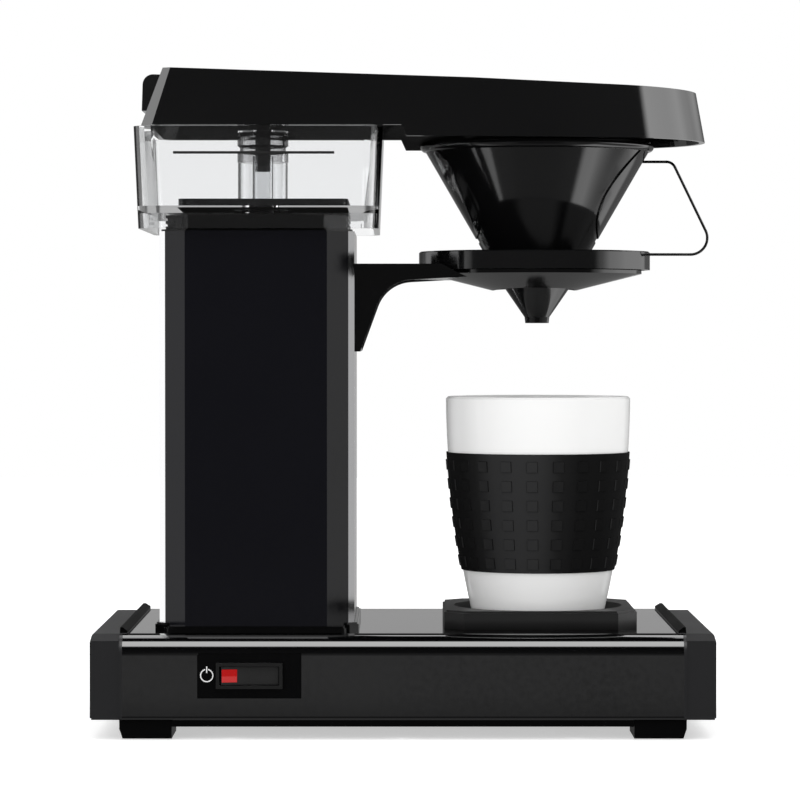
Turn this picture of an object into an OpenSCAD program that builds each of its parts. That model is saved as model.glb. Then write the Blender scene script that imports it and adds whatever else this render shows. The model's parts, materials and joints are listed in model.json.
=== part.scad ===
// Single-mug drip coffee maker with a boiler column, clear tank, outlet arm, cone basket and mug.
// +X runs along the base from the column towards the mug, the front faces -Y and +Z is up.
// The origin is at table level under the middle of the base.

/* [Base] */
// Width over both end caps
base_w = 290; // [270:1:310]
// Depth of the base, front to back
base_d = 171; // [160:1:185]
// Height of the base's flat top above the table
base_top = 48.8; // [44:0.2:56]
// Height of the housing's lower edge above the table
foot_h = 9; // [8:0.5:11]
// Outside radius of the housing's two long bends
bend_r = 9.5; // [7:0.5:11]
// Thickness of the base's sheet metal
sheet_t = 1.2; // [1:0.1:1.6]
// Width of the lips folded in under the housing
flange_w = 14; // [13:0.5:16]
// How far each end cap stands out beyond the metal
cap_w = 15; // [12:0.5:18]
// Wall of the moulded end caps
cap_wall = 2.2; // [1.8:0.1:2.6]
// Height of the end caps' lips above the metal top
lip_h = 2.8; // [2:0.2:4]
// Width of each foot block
foot_w = 22.8; // [20:0.2:26]
// Depth of each foot block
foot_d = 34; // [32:1:38]
// How far the rubber pads stand out below the foot blocks
pad_proud = 0.5; // [0.4:0.1:1]

/* [Switch] */
// Middle of the switch along the base
switch_x = -71.1; // [-80:0.1:-60]
// Height of the switch's middle
switch_z = 29.9; // [28:0.1:32]
// Width of the flat plate round the switch
plate_w = 48; // [46:0.5:52]
// Height of the flat plate round the switch
plate_h = 20.8; // [19:0.2:22]
// Length of the rocker
rocker_w = 29.2; // [27:0.2:30]
// Height of the rocker
rocker_h = 10.4; // [9:0.2:11]
// How far the switch frame stands out from the base
switch_proud = 1.5; // [1:0.1:2]
// Tilt of each half of the rocker, in degrees
rocker_tilt = 4; // [3:0.5:5]
// Width of the lamp lens
lens_w = 7.3; // [6:0.1:8]
// Height of the lamp lens
lens_h = 6.2; // [5:0.1:7]

/* [Column] */
// Width of the column
col_w = 91.3; // [88:0.1:96]
// Depth of the column
col_d = 119.4; // [114:0.2:124]
// Height of the column above the base
col_h = 187.2; // [170:0.2:205]
// Size of the column's corner chamfers
col_chamfer = 12.6; // [11:0.1:15]
// Middle of the column along the base
col_x = -68.4; // [-70:0.1:-66]
// Distance of the column's front behind the base's front
col_set = 10.8; // [9:0.1:14]
// Thickness of the column's metal shell
shell_t = 1; // [0.8:0.1:1.4]
// Thickness of the front panel
panel_t = 0.8; // [0.6:0.1:1]
// Strip of bare shell beside the front panel
panel_inset = 2.8; // [2:0.2:5]
// Height of the collar round the column's foot
collar_h = 4.2; // [3.5:0.1:5]
// Wall of the collar
collar_t = 2; // [1.6:0.1:2.4]

/* [Water tank] */
// Width of the tank at its rim
tank_w = 116; // [112:0.5:120]
// Depth of the tank at its rim
tank_d = 133; // [129:0.5:136]
// Height of the tank
tank_h = 47.4; // [42:0.2:60]
// Wall of the tank
tank_wall = 2.6; // [2.2:0.1:3]
// How much each side leans out from bottom to rim
tank_lean = 2; // [1:0.2:3]
// Radius of the tank's corners
tank_r = 10; // [8:0.5:14]
// Thickness of the tank's floor
tank_floor_t = 3.4; // [3:0.1:4]
// Offset of the tank from the column's middle
tank_off = 1.1; // [0:0.1:2]
// Height of the black fitting plate on the tank's floor
fitting_h = 4; // [3:0.2:5]
// Outside diameter of the guard tube
guard_d = 23.8; // [22:0.2:26]
// Outside diameter of the riser tube
riser_d = 9.8; // [9:0.1:10.6]
// Wall of the riser tube
riser_wall = 1; // [0.8:0.1:1.1]

/* [Arm cover] */
// Front-to-back depth of the cover's lower edge
cover_d = 136; // [134:0.5:140]
// Height of the cover above the tank's rim at its left end
cover_h = 26.6; // [24:0.2:32]
// Slope of the cover's top, in degrees
cover_slope = 1.87; // [1:0.05:2.2]
// Left end of the cover's lower edge
cover_left = -121.4; // [-123:0.1:-120]
// How far the left end leans in, millimetre for millimetre of height
cover_lean = 0.377; // [0.3:0.01:0.45]
// How far the round end leans in, millimetre for millimetre of height
nose_lean = 0.178; // [0.1:0.01:0.25]
// How far the long sides lean in, millimetre for millimetre of height
side_lean = 0.06; // [0.02:0.01:0.12]
// Radius of the round end
nose_r = 57; // [54:0.5:60]
// Chamfer of the left end's corners
cover_chamfer = 5.7; // [4:0.1:8]
// Wall of the cover
cover_wall = 2.5; // [2:0.1:3]
// How much lower the skirt hangs beyond the tank
skirt_drop = 5.2; // [4:0.1:7]
// Where the lower skirt starts
skirt_x = 1.6; // [0:0.1:6]
// Thickness of the tank lid
lid_t = 2.5; // [2:0.1:3]
// Length of the tank lid along the arm
lid_len = 86; // [80:1:90]
// Width of the tank lid
lid_w = 104; // [90:1:110]
// Width of the lid's finger tab
tab_w = 34; // [24:1:44]
// How far the finger tab hangs down
tab_drop = 17.5; // [14:0.5:20]

/* [Brew basket] */
// Basket axis along the base
basket_x = 64.5; // [62:0.1:67]
// Outside radius of the basket's rim
rim_r = 56; // [54:0.5:57]
// Height of the basket from plate to rim
basket_h = 52.4; // [48:0.2:53]
// Outside radius at the bottom of the cone
cone_r = 25.8; // [24:0.1:30]
// Wall of the basket
basket_wall = 2; // [1.6:0.1:2.4]
// Outside radius of the plate under the cone
plate_r = 55.5; // [54:0.5:56.5]
// Height of the plate
plate_t = 8.8; // [7:0.2:10]
// Offset of the plate's middle from the basket's axis
plate_off = 1.3; // [0:0.1:2]
// Length of the nozzle below the plate
nozzle_len = 25.4; // [22:0.2:28]
// Outside radius of the nozzle's tip
tip_r = 5.65; // [5:0.05:7]
// Diameter of the wire handle
wire_d = 1.3; // [1:0.1:2]
// Height of the top of the bracket's side walls
bracket_top = 221; // [218:0.2:224]
// Width of the bracket
bracket_w = 83; // [80:0.5:86]
// Length of the bracket's leg down the column
leg_len = 41.3; // [36:0.1:50]
// Outside radius of the dish's rim
dish_r = 51.5; // [50:0.1:52]
// Radius of the hole in the dish
dish_hole_r = 20.5; // [19:0.1:22]
// Depth of the dish
dish_h = 7.8; // [7:0.1:9.5]

/* [Mug and its ring] */
// Width of the mug ring
ring_w = 91; // [90:0.2:96]
// Depth of the mug ring
ring_d = 86; // [84:0.5:92]
// Height of the mug ring
ring_h = 8.8; // [7:0.2:11]
// Width of the mug ring at its narrowest
ring_rim = 2.75; // [2.5:0.05:4]
// Chamfer of the mug ring's corners
ring_chamfer = 9.3; // [8:0.1:12]
// Height of the mug
mug_h = 108.9; // [95:0.5:115]
// Outside radius of the mug's rim
mug_r = 44.3; // [42:0.1:46]
// How much narrower the mug is at its foot
mug_taper = 13.7; // [11:0.1:15]
// Wall of the mug
mug_wall = 3.6; // [3:0.1:4.5]
// Height of the sleeve's lower edge above the mug's foot
sleeve_low = 25.8; // [20:0.1:30]
// Height of the sleeve
sleeve_h = 56.4; // [48:0.1:62]
// Thickness of the sleeve
sleeve_t = 0.8; // [0.6:0.1:1.2]

/* [Hidden] */
$fn = 96;

// clearances
seat = 0.3;       // between pieces that move apart, where they rest on each other
fit = 0.1;        // round pieces that are fixed together
run = 0.05;       // round pins and the parts that turn on them
cut = 1;          // how far a cutting shape runs past the face that it cuts
skin = 0.01;      // thickness of an outline that a hull joins to another
weld = 0.05;      // how far a wire's joint beads stand out from it
hull_fn = 32;     // fineness of small round corners inside a hull

// base
metal_x = base_w / 2 - cap_w;            // half the length of the metal housing
flange_t = 1.5;                          // thickness of the end cap's flange
lip_in = 2;                              // how far the cap's lip reaches in over the metal
lip_back = bend_r;                       // the lip stops where the housing's bends begin
shelf_t = 3;                             // thickness of the bottom plate and the caps' shelves
shelf_z = foot_h - shelf_t;
shelf_y = base_d / 2 - 3;                // half the depth of the bottom plate
plug_len = 8;                            // length of the cap's plug inside the metal
screw_r = 1.7;
screw_head_r = 3.3;
screw_head_h = 1.6;
screw_len = 8;
screw_y = base_d / 2 - sheet_t - flange_w / 2;
plate_screw_x = [-80, 0, 80];
cap_screw_x = metal_x - foot_w / 2;
pad_h = 2;
pad_size = [16, 19];
pad_corner = 3;
pad_y = shelf_y - foot_d + 11;           // middle of a pad, clear of the screw in the same foot
gland_x = col_x - 20;
gland_z = 26;
gland_r = 5.5;
gland_lip = 1.5;                         // how far the gland's rims reach over the metal
gland_in = 6;                            // length of the gland behind the metal
lead_r = 3.4;                            // bore for the mains lead
wire_hole_r = 14;                        // hole between the base and the column
column_screw_at = [col_w / 2 - 15.65, col_d / 2 - 17.7];

// switch
frame_w = rocker_w + 1.6;
frame_h = rocker_h + 1.6;
front_y = -base_d / 2;
frame_front = front_y - switch_proud;
plate_sink = 0.4;                        // how far the switch plate lies below the metal
plate_thick = 1.6;
plate_behind = 2;                        // overlap of the plate behind the metal
pocket_wall = 0.8;
pocket_deep = 9;
rocker_gap = 0.6;
rocker_axis = front_y + 3;               // hinge axis of the rocker, front to back
rocker_half = rocker_w / 2 - pocket_wall - rocker_gap;
rocker_tall = rocker_h - 2 * pocket_wall - 2 * seat;
lens_at = -9.4;                          // middle of the lens along the rocker
lens_deep = 1.4;
pivot_r = 1;                             // stub pivots of the switch, in sockets of the rocker
pivot_in = 1.2;
// the valley lies so deep that a raised tip is level with the frame
valley_y = frame_front - rocker_axis + 2 * rocker_half * sin(rocker_tilt);
function rocker_face(x) = valley_y - abs(x) * tan(rocker_tilt);

// column and the parts in it
mid_y = col_set + (col_d - base_d) / 2;  // middle of the column, arm and basket, front to back
col_top = base_top + col_h;
shaft_r = 9;                             // shank of the tank fitting
deck_t = 2.5;                            // top deck of the column's cap
top_cap_h = 7.5;
deck_top = col_top + top_cap_h;
shell_in = shell_t + panel_t;            // from the column's outside to the inside of its shell
cap_step = 3;                            // how far the column cap's ridges lie inside the column
screw_hole = 12;                         // depth of a cut for a screw, through any wall it holds
seal_t = 0.6;
port_r = 5;                              // shank of the feed port
nut_h = 5;
valve_len = 20;
barb_len = 8;
valve_top = deck_top - deck_t;
valve_low = valve_top - valve_len;
shank_low = valve_top - nut_h - 3;       // lower end of the tank fitting's shank
riser_low = shank_low - barb_len;
boiler_r = 4.9;
element_r = 4;
web_x = 12;                              // spacing of the water tube and the element beside it
web_end = 20;
web_t = 5;
sensor_pad = [14, 10, 60];               // flat block on the water tube for the sensors
boiler_low = base_top + 32;
boiler_top = base_top + 150;
feed_y = 30;                             // distance of the feed line behind the riser
hose_wall = 1.8;
bend_z = base_top + 26;                  // height at which the feed hose turns back up

// tank
tank_x = col_x + tank_off;
tank_z = col_top + 1;                    // lower edge of the tank's skirt
tank_top = tank_z + tank_h;
floor_z = deck_top + seal_t;
floor_top = floor_z + tank_floor_t;
fitting_top = floor_top + fitting_h;
fitting_r = guard_d / 2 + 0.4;
guard_wall = 1.2;

// cover
cover_z = tank_top + seat;
skirt_z = cover_z - skirt_drop;
cover_top = cover_z + cover_h;           // height of the top's left edge
edge_x = cover_left + cover_lean * cover_h;
nose_x = base_w / 2;
function top_at(x) = cover_top - (x - edge_x) * tan(cover_slope);
tube_z = cover_z + 11.3;                 // axis of the outlet tube
tube_gap = 0.2;                          // round the outlet tube where it dips into the riser tube
tube_r = riser_d / 2 - riser_wall - tube_gap;
tube_wall = 1;
tube_bend = 10;
tube_end = basket_x + 20;
outlet_r = 1.8;                          // hole from the outlet tube into the spray head
socket_z = tank_top - 14.1;              // lower edge of the sleeve that hangs over the guard
hinge_r = 2.5;
pin_r = 1.2;
hinge_x = lid_len + 5;                   // hinge axis, along the sloping top from its left edge
hinge_gap = 0.6;                         // between the hinge barrel and the cover's gutter for it
hinge_half = 3.2;                        // half the width of the hinge's bosses
lid_left = hinge_x - lid_len;            // along the sloping top, from its left edge
barrel = lid_w - 16;                     // length of the lid's hinge barrel
ledge = 4;                               // width of the ledge that the lid rests on
lid_pocket = lid_t + seat;
opening_deep = 20;                       // depth of the cuts through the top's ledge and bosses
tab_out = 12.4;                          // how far the finger tab stands out from the top's left edge
shoulder_x = 32;                         // where the cover's straight sides end
hangers = [-25, 32];                     // where the outlet tube hangs from the cover
hanger_wall = 2;

// basket
plate_x = basket_x - plate_off;
plate_z = bracket_top - 2.4;
plate_top = plate_z + plate_t;
rim_z = plate_top + basket_h;
bead_r = 2.35;                           // round bead along the rim
bead_h = 2 * bead_r;
bead_out = 2.5;                          // how far the bead stands out from the cone's top
cone_top_r = rim_r - bead_out;
cone_h = basket_h - bead_h;
function cone_at(h) = cone_r + (cone_top_r - cone_r) * h / cone_h;
panel_r = 28;                            // round panel on each side of the cone, outlined by a groove
panel_at = 33;                           // height of that panel's middle above the plate
groove_w = 2.4;
groove_deep = 0.8;
drain_r = 4;                             // hole through the basket's floor and the plate
handle_high = plate_top + 43.3;          // height of the wire handle's upper bar
handle_low = plate_top - 1.2;
wire_r = wire_d / 2;

// bracket
bracket_wall = 2.5;
leg_low = bracket_top - leg_len;
col_side = col_x + col_w / 2;            // right-hand face of the column
leg_t = 2.7;
arm_low = bracket_top - 6.6;             // lower edge of the bracket's arm
floor_t = 2.6;
bracket_screw_y = bracket_w / 2 - 16.5;
bracket_screw_z = [leg_low + 9, leg_low + 26];
dish_wall = 2;
dish_top = plate_z - seat;
dish_rim = 1.6;                          // height of the dish's upright rim
dish_low = dish_top - dish_rim - dish_h;

// mug
mug_z = base_top + seat;
mug_x = basket_x + 0.5;
ring_hole_d = ring_d - 2 * ring_rim;
peg_r = 2.5;                             // pegs under the mug ring, in holes of the housing
peg_len = 4;
peg_at = [ring_w / 2 - 8.3, ring_d / 2 - 10];
mug_power = 1.9;
function mug_at(h) = mug_r - mug_taper * pow(1 - h / mug_h, mug_power);

// ---- shapes used by several pieces ----

// rectangle w by d with rounded corners, centred
module rounded_rect(w, d, r) {
    square([w - 2 * r, d], center = true);
    square([w, d - 2 * r], center = true);
    for (sx = [-1, 1], sy = [-1, 1])
        translate([sx * (w / 2 - r), sy * (d / 2 - r)]) circle(r);
}

// rectangle w by d with chamfered corners, centred
module chamfered_rect(w, d, c) {
    x = w / 2;
    y = d / 2;
    polygon([[-x, c - y], [c - x, -y], [x - c, -y], [x, c - y],
        [x, y - c], [x - c, y], [c - x, y], [-x, y - c]]);
}

// ring of radii r1 (outer) and r2 (inner)
module ring(r1, r2, h) {
    difference() {
        cylinder(r = r1, h = h);
        translate([0, 0, -cut]) cylinder(r = r2, h = h + 2 * cut);
    }
}

// extrudes a front-to-back outline (first axis Y, second axis Z) along X, from x1 to x2
module along_x(x1, x2) {
    translate([x1, 0, 0]) rotate([90, 0, 90]) linear_extrude(x2 - x1) children();
}

// extrudes a side-on outline (first axis X, second axis Z) along Y, w wide about the middle
module along_y(w) {
    translate([0, w / 2, 0]) rotate([90, 0, 0]) linear_extrude(w) children();
}

// cross-section of the base housing, inset by a distance
module housing_outline(inset) {
    y = base_d / 2 - inset;
    top = base_top - inset;
    low = foot_h + inset;
    r = bend_r - inset;
    foot_r = max(2 - inset, 0.4);
    translate([-y, low + foot_r]) square([2 * y, top - low - r - foot_r]);
    translate([r - y, low + foot_r]) square([2 * (y - r), top - low - foot_r]);
    translate([foot_r - y, low]) square([2 * (y - foot_r), top - low - r]);
    for (s = [-1, 1]) {
        translate([s * (y - r), top - r]) circle(r);
        translate([s * (y - foot_r), low + foot_r]) circle(foot_r);
    }
}

// pan-head screw pointing up, with its head's lower face at z = 0
module screw(len) {
    cylinder(r = screw_head_r, h = screw_head_h);
    cylinder(r = screw_r, h = screw_head_h + len);
}

// slot w wide and len long over all, along Y
module slot(w, len, h) {
    translate([-w / 2, (w - len) / 2, 0]) cube([w, len - w, h]);
    for (s = [-1, 1]) translate([0, s * (len - w) / 2, 0]) cylinder(r = w / 2, h = h);
}

// column outline, grown by g
module column_outline(g) {
    chamfered_rect(col_w + 2 * g, col_d + 2 * g, col_chamfer + g * (2 - sqrt(2)));
}

// points of a round corner of radius r at p1, between the lines to p0 and p2
function corner(p0, p1, p2, r, steps) =
    let (u = (p0 - p1) / norm(p0 - p1), v = (p2 - p1) / norm(p2 - p1),
        half = acos(u * v) / 2, c = p1 + (u + v) / norm(u + v) * r / sin(half),
        q0 = p1 + u * r / tan(half) - c, q2 = p1 + v * r / tan(half) - c,
        a0 = atan2(q0[1], q0[0]), turn = atan2(q0[0] * q2[1] - q0[1] * q2[0], q0 * q2))
    [for (i = [0:steps]) c + r * [cos(a0 + turn * i / steps), sin(a0 + turn * i / steps)]];

// ---- base ----

module base_housing() {
    color([0.06, 0.06, 0.065]) difference() {
        along_x(-metal_x, metal_x) difference() {
            housing_outline(0);
            housing_outline(sheet_t);
            translate([flange_w - base_d / 2 + sheet_t, foot_h - cut])
                square([base_d - 2 * (flange_w + sheet_t), sheet_t + 2 * cut]);
        }
        switch_window(fit);
        translate([gland_x, base_d / 2 + cut, gland_z]) rotate([90, 0, 0])
            cylinder(r = gland_r + fit, h = sheet_t + 2 * cut);
        translate([col_x, mid_y, base_top - sheet_t - cut])
            cylinder(r = wire_hole_r, h = sheet_t + 2 * cut);
        column_screw_places() translate([0, 0, -cut]) cylinder(r = screw_r + fit, h = sheet_t + 2 * cut);
        ring_peg_places() translate([0, 0, -sheet_t - cut])
            cylinder(r = peg_r + fit, h = sheet_t + 2 * cut);
        base_screw_places() cylinder(r = screw_r + fit, h = shelf_t + sheet_t + cut);
    }
}

// every screw that comes up from below, at the level of the bottom plate's lower face
module base_screw_places() {
    for (s = [-1, 1]) {
        for (x = plate_screw_x) translate([x, s * screw_y, shelf_z]) children();
        for (x = [-cap_screw_x, cap_screw_x]) translate([x, s * screw_y, shelf_z]) children();
    }
}

module column_screw_places() {
    for (sx = [-1, 1], sy = [-1, 1])
        translate([col_x + sx * column_screw_at[0], mid_y + sy * column_screw_at[1], base_top - sheet_t])
            children();
}

module ring_peg_places() {
    for (sx = [-1, 1], sy = [-1, 1])
        translate([mug_x + sx * peg_at[0], mid_y + sy * peg_at[1], base_top]) children();
}

// right-hand end cap: hollow end, flange with a raised lip, plug inside the metal and two feet
module end_cap() {
    drop = 2.4;                          // fall of the cap's top towards its front and back
    bevel = 12;                          // depth of that bevel
    inset = 0.4;                         // how far the cap lies inside its flange
    cap_low = foot_h + inset;
    cap_top = base_top - inset;
    half = base_d / 2 - inset;
    outer_r = 0.7;                       // step of the cap's outermost edges
    foot_slant = 5;                      // height to which a foot's outer face slopes in below
    lip_w = 1.2;                         // width of the lip's top, which slopes down inwards
    difference() {
        union() {
            along_x(metal_x + flange_t, base_w / 2 - outer_r) cap_outline(half, cap_low, cap_top, bevel, drop);
            along_x(metal_x + flange_t, base_w / 2)
                cap_outline(half - outer_r, cap_low + outer_r, cap_top - outer_r, bevel, drop);
            along_x(metal_x, metal_x + flange_t) housing_outline(0);
            intersection() {
                along_x(metal_x - lip_in, metal_x + flange_t) polygon([
                    [lip_back - base_d / 2 - lip_h, base_top], [lip_back - base_d / 2, base_top + lip_h],
                    [base_d / 2 - lip_back, base_top + lip_h], [base_d / 2 - lip_back + lip_h, base_top]]);
                along_y(base_d) polygon([[metal_x - lip_in, base_top - cut],
                    [metal_x + flange_t, base_top - cut], [metal_x + flange_t, base_top + lip_h],
                    [metal_x + flange_t - lip_w, base_top + lip_h], [metal_x - lip_in, base_top + lip_w]]);
            }
            along_x(metal_x - plug_len, metal_x + flange_t) housing_outline(sheet_t + fit);
            translate([metal_x - foot_w, -shelf_y, shelf_z]) cube([foot_w + flange_t, 2 * shelf_y, shelf_t]);
            for (s = [-1, 1]) translate([0, s * (shelf_y - foot_d / 2), 0]) along_y(foot_d) polygon([
                [metal_x - foot_w, pad_proud], [metal_x, pad_proud], [metal_x + flange_t, foot_slant],
                [metal_x + flange_t, shelf_z + cut], [metal_x - foot_w, shelf_z + cut]]);
        }
        along_x(metal_x - plug_len - cut, base_w / 2 - cap_wall) intersection() {
            housing_outline(sheet_t + fit + cap_wall);
            cap_outline(half - cap_wall, cap_low + cap_wall, cap_top - cap_wall, bevel, drop);
        }
        for (s = [-1, 1]) {
            translate([cap_screw_x, s * screw_y, 0]) {
                cylinder(r = screw_head_r + fit, h = shelf_z + screw_head_h);
                cylinder(r = screw_r + fit, h = foot_h + 2 * cap_wall + cut);
            }
            translate([cap_screw_x, s * pad_y, 0]) linear_extrude(pad_h)
                rounded_rect(pad_size[0], pad_size[1], pad_corner);
        }
    }
}

// front-to-back outline of an end cap, bevelled along its top edges
module cap_outline(y, low, top, bevel, drop) {
    polygon([[-y, low], [-y, top - drop], [bevel - y, top], [y - bevel, top], [y, top - drop], [y, low]]);
}

module left_end_cap() { color([0.09, 0.09, 0.095]) mirror([1, 0, 0]) end_cap(); }

module right_end_cap() { color([0.09, 0.09, 0.095]) end_cap(); }

module foot_pads() {
    color([0.12, 0.12, 0.12])
        for (sx = [-1, 1], sy = [-1, 1]) translate([sx * cap_screw_x, sy * pad_y, 0])
            linear_extrude(pad_h)
                rounded_rect(pad_size[0] - 2 * fit, pad_size[1] - 2 * fit, pad_corner - fit);
}

module base_plate() {
    slot_w = 3;
    slot_len = 26;
    slot_y = 35;                         // middle of each row of slots
    slots = 11;
    pitch = 10;
    x = metal_x - foot_w - fit;
    color([0.07, 0.07, 0.07]) difference() {
        translate([-x, -shelf_y, shelf_z]) cube([2 * x, 2 * shelf_y, shelf_t]);
        for (i = [0:slots - 1], s = [-1, 1])
            translate([(i - (slots - 1) / 2) * pitch, s * slot_y, shelf_z - cut])
                slot(slot_w, slot_len, shelf_t + 2 * cut);
        for (s = [-1, 1], px = plate_screw_x) translate([px, s * screw_y, shelf_z - cut]) {
            cylinder(r = screw_head_r + fit, h = screw_head_h + cut);
            cylinder(r = screw_r + fit, h = shelf_t + 2 * cut);
        }
    }
}

module base_screws() { color("silver") base_screw_places() screw(screw_len); }

// bush for the mains lead: collar inside the wall, mouth outside it
module cord_gland() {
    color([0.08, 0.08, 0.08]) translate([gland_x, base_d / 2 + switch_proud, gland_z]) rotate([90, 0, 0])
        difference() {
            union() {
                cylinder(r = gland_r + gland_lip, h = switch_proud);
                cylinder(r = gland_r, h = switch_proud + sheet_t + gland_in);
                translate([0, 0, switch_proud + sheet_t]) cylinder(r = gland_r + gland_lip, h = 2);
            }
            translate([0, 0, -cut]) cylinder(r = lead_r, h = switch_proud + sheet_t + gland_in + 2 * cut);
        }
}

// three-way block: a wire bore right through each way and a clamp-screw hole from above
module terminal_block() {
    size = [24, 16, 12];
    pitch = 7.5;
    color([0.85, 0.85, 0.8]) translate([gland_x, base_d / 2 - 50, foot_h]) difference() {
        translate([-size[0] / 2, -size[1] / 2, 0]) cube(size);
        for (i = [-1, 0, 1]) translate([i * pitch, 0, size[2] / 2]) {
            translate([0, size[1] / 2 + cut, 0]) rotate([90, 0, 0]) cylinder(r = 2, h = size[1] + 2 * cut);
            cylinder(r = 1.6, h = size[2]);
        }
    }
}

// ---- switch ----

// window in the housing's front for the switch plate
module switch_window(gap) {
    translate([switch_x - plate_w / 2 - gap, front_y - cut, switch_z - plate_h / 2 - gap])
        cube([plate_w + 2 * gap, sheet_t + 2 * cut, plate_h + 2 * gap]);
}

module switch_plate() {
    flange_z = switch_z - plate_h / 2 - plate_behind;
    color([0.03, 0.03, 0.035]) difference() {
        union() {
            translate([switch_x - plate_w / 2, front_y + plate_sink, switch_z - plate_h / 2])
                cube([plate_w, plate_thick, plate_h]);
            translate([switch_x - plate_w / 2 - plate_behind, front_y + sheet_t, flange_z])
                cube([plate_w + 2 * plate_behind, plate_thick, base_top - bend_r - flange_z]);
        }
        translate([switch_x - rocker_w / 2 - fit, frame_front, switch_z - rocker_h / 2 - fit])
            cube([rocker_w + 2 * fit, pocket_deep, rocker_h + 2 * fit]);
    }
}

// switch housing with its frame in front, an open pocket for the rocker and three blades behind
module switch_body() {
    depth = 18;
    blade = [0.8, 7, 4.8];
    color([0.02, 0.02, 0.02]) difference() {
        union() {
            translate([switch_x - frame_w / 2, frame_front, switch_z - frame_h / 2])
                cube([frame_w, switch_proud + plate_sink, frame_h]);
            translate([switch_x - rocker_w / 2, frame_front, switch_z - rocker_h / 2])
                cube([rocker_w, depth, rocker_h]);
            for (i = [-1, 0, 1])
                translate([switch_x + i * rocker_w / 3, frame_front + depth, switch_z - blade[2] / 2])
                    cube(blade);
        }
        translate([switch_x - rocker_w / 2 + pocket_wall, frame_front - cut,
                switch_z - rocker_h / 2 + pocket_wall])
            cube([rocker_w - 2 * pocket_wall, pocket_deep + cut, rocker_h - 2 * pocket_wall]);
    }
    for (s = [-1, 1]) color([0.02, 0.02, 0.02])
        translate([switch_x, rocker_axis, switch_z + s * (rocker_h / 2 - pocket_wall)])
            mirror([0, 0, s < 0 ? 0 : 1]) cylinder(r = pivot_r, h = seat + pivot_in);
}

// rocker with two flat halves that meet in a shallow valley, drawn with its left half raised
module rocker_switch() {
    side = 1.2;                          // slant of the rocker's two ends
    keel = [2, 2.6];                     // half width and depth of the part behind the pivots
    color([0.04, 0.04, 0.04]) rocker_place() difference() {
        linear_extrude(rocker_tall) polygon([
            [-rocker_half, rocker_face(rocker_half)], [0, valley_y], [rocker_half, rocker_face(rocker_half)],
            [rocker_half - side, side], keel, [-keel[0], keel[1]], [side - rocker_half, side]]);
        translate([lens_at - lens_w / 2, valley_y - 2, (rocker_tall - lens_h) / 2])
            cube([lens_w, 2 + lens_deep, lens_h]);
        for (z = [-cut, rocker_tall - pivot_in - fit])
            translate([0, 0, z]) cylinder(r = pivot_r + run, h = pivot_in + fit + cut);
    }
}

module rocker_place() {
    translate([switch_x, rocker_axis, switch_z - rocker_tall / 2]) rotate([0, 0, rocker_tilt]) children();
}

module switch_lens() {
    x1 = lens_at - lens_w / 2 + fit;
    x2 = lens_at + lens_w / 2 - fit;
    color([0.75, 0.03, 0.03]) rocker_place() translate([0, 0, (rocker_tall - lens_h) / 2 + fit])
        linear_extrude(lens_h - 2 * fit) polygon([[x1, rocker_face(x1)], [x2, rocker_face(x2)],
            [x2, valley_y + lens_deep], [x1, valley_y + lens_deep]]);
}

// ---- column ----

// strip of the column's outline that the front panel fills
module panel_outline() {
    half = col_w / 2 - panel_inset;
    intersection() {
        difference() {
            column_outline(0);
            column_outline(-panel_t);
        }
        translate([-half, -col_d / 2 - cut]) square([2 * half, col_chamfer + cut]);
    }
}

module at_column(z) { translate([col_x, mid_y, z]) children(); }

module column_shell() {
    color([0.75, 0.75, 0.77]) difference() {
        at_column(base_top) linear_extrude(col_h) difference() {
            column_outline(0);
            column_outline(-shell_in);
            panel_outline();
        }
        bracket_screw_places() translate([0, 0, -cut]) cylinder(r = screw_r + fit, h = screw_hole);
    }
}

module column_front_panel() {
    color([0.05, 0.05, 0.07]) at_column(base_top + collar_h / 2)
        linear_extrude(col_h - collar_h / 2) panel_outline();
}

// collar round the column's foot, lower and round-cornered at its front and back
module column_collar() {
    edge = 0.8;
    front_h = 3.1;
    front_out = 1.5;                     // how far the front stands out from the column
    front_r = 4;
    front_w = col_w - 2 * panel_inset;
    side_d = col_d - 2 * col_chamfer + 10;  // length of the higher sides, up to the front's corners
    color([0.05, 0.05, 0.05]) at_column(base_top) difference() {
        union() {
            for (step = [0, edge]) linear_extrude(collar_h - edge + step) intersection() {
                column_outline(collar_t - step);
                square([2 * col_w, side_d], center = true);
            }
            for (step = [0, edge]) linear_extrude(front_h - edge + step)
                rounded_rect(front_w - 2 * step, col_d + 2 * (front_out - step), front_r - step);
        }
        translate([0, 0, -cut]) linear_extrude(col_h) column_outline(fit);
    }
}

module column_foot_plate() {
    thick = 3;
    color([0.6, 0.6, 0.62]) difference() {
        at_column(base_top) linear_extrude(thick) difference() {
            column_outline(-shell_in - fit);
            circle(wire_hole_r);
        }
        column_screw_places() translate([0, 0, -cut]) cylinder(r = screw_r + fit, h = screw_hole);
    }
}

module column_screws() {
    color("silver") column_screw_places() translate([0, 0, -screw_head_h]) screw(screw_len);
}

// cap that closes the column and carries the tank: plug, flange, ridges and deck
module column_top_cap() {
    flange = 0.9;
    plug = 8;
    wall = 2;
    ridges = 5;                          // ridges and grooves together, from a ridge to a ridge
    pitch = (top_cap_h - flange) / ridges;
    groove = 0.9;
    color([0.04, 0.04, 0.04]) difference() {
        union() {
            at_column(col_top - plug) linear_extrude(plug) column_outline(-shell_in - fit);
            at_column(col_top) linear_extrude(flange) column_outline(-1);
            for (i = [0:ridges - 1]) at_column(col_top + flange + i * pitch)
                linear_extrude(pitch) column_outline(-cap_step - (i % 2 == 1 ? groove : 0));
        }
        at_column(col_top - plug - cut) linear_extrude(plug + cut + top_cap_h - deck_t)
            column_outline(-cap_step - groove - wall);
        at_riser(col_top) cylinder(r = shaft_r + fit, h = top_cap_h + cut);
        at_feed(col_top) cylinder(r = port_r + fit, h = top_cap_h + cut);
    }
}

// ---- heater and hoses inside the column ----

module at_riser(z) { translate([tank_x, mid_y, z]) children(); }

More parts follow.
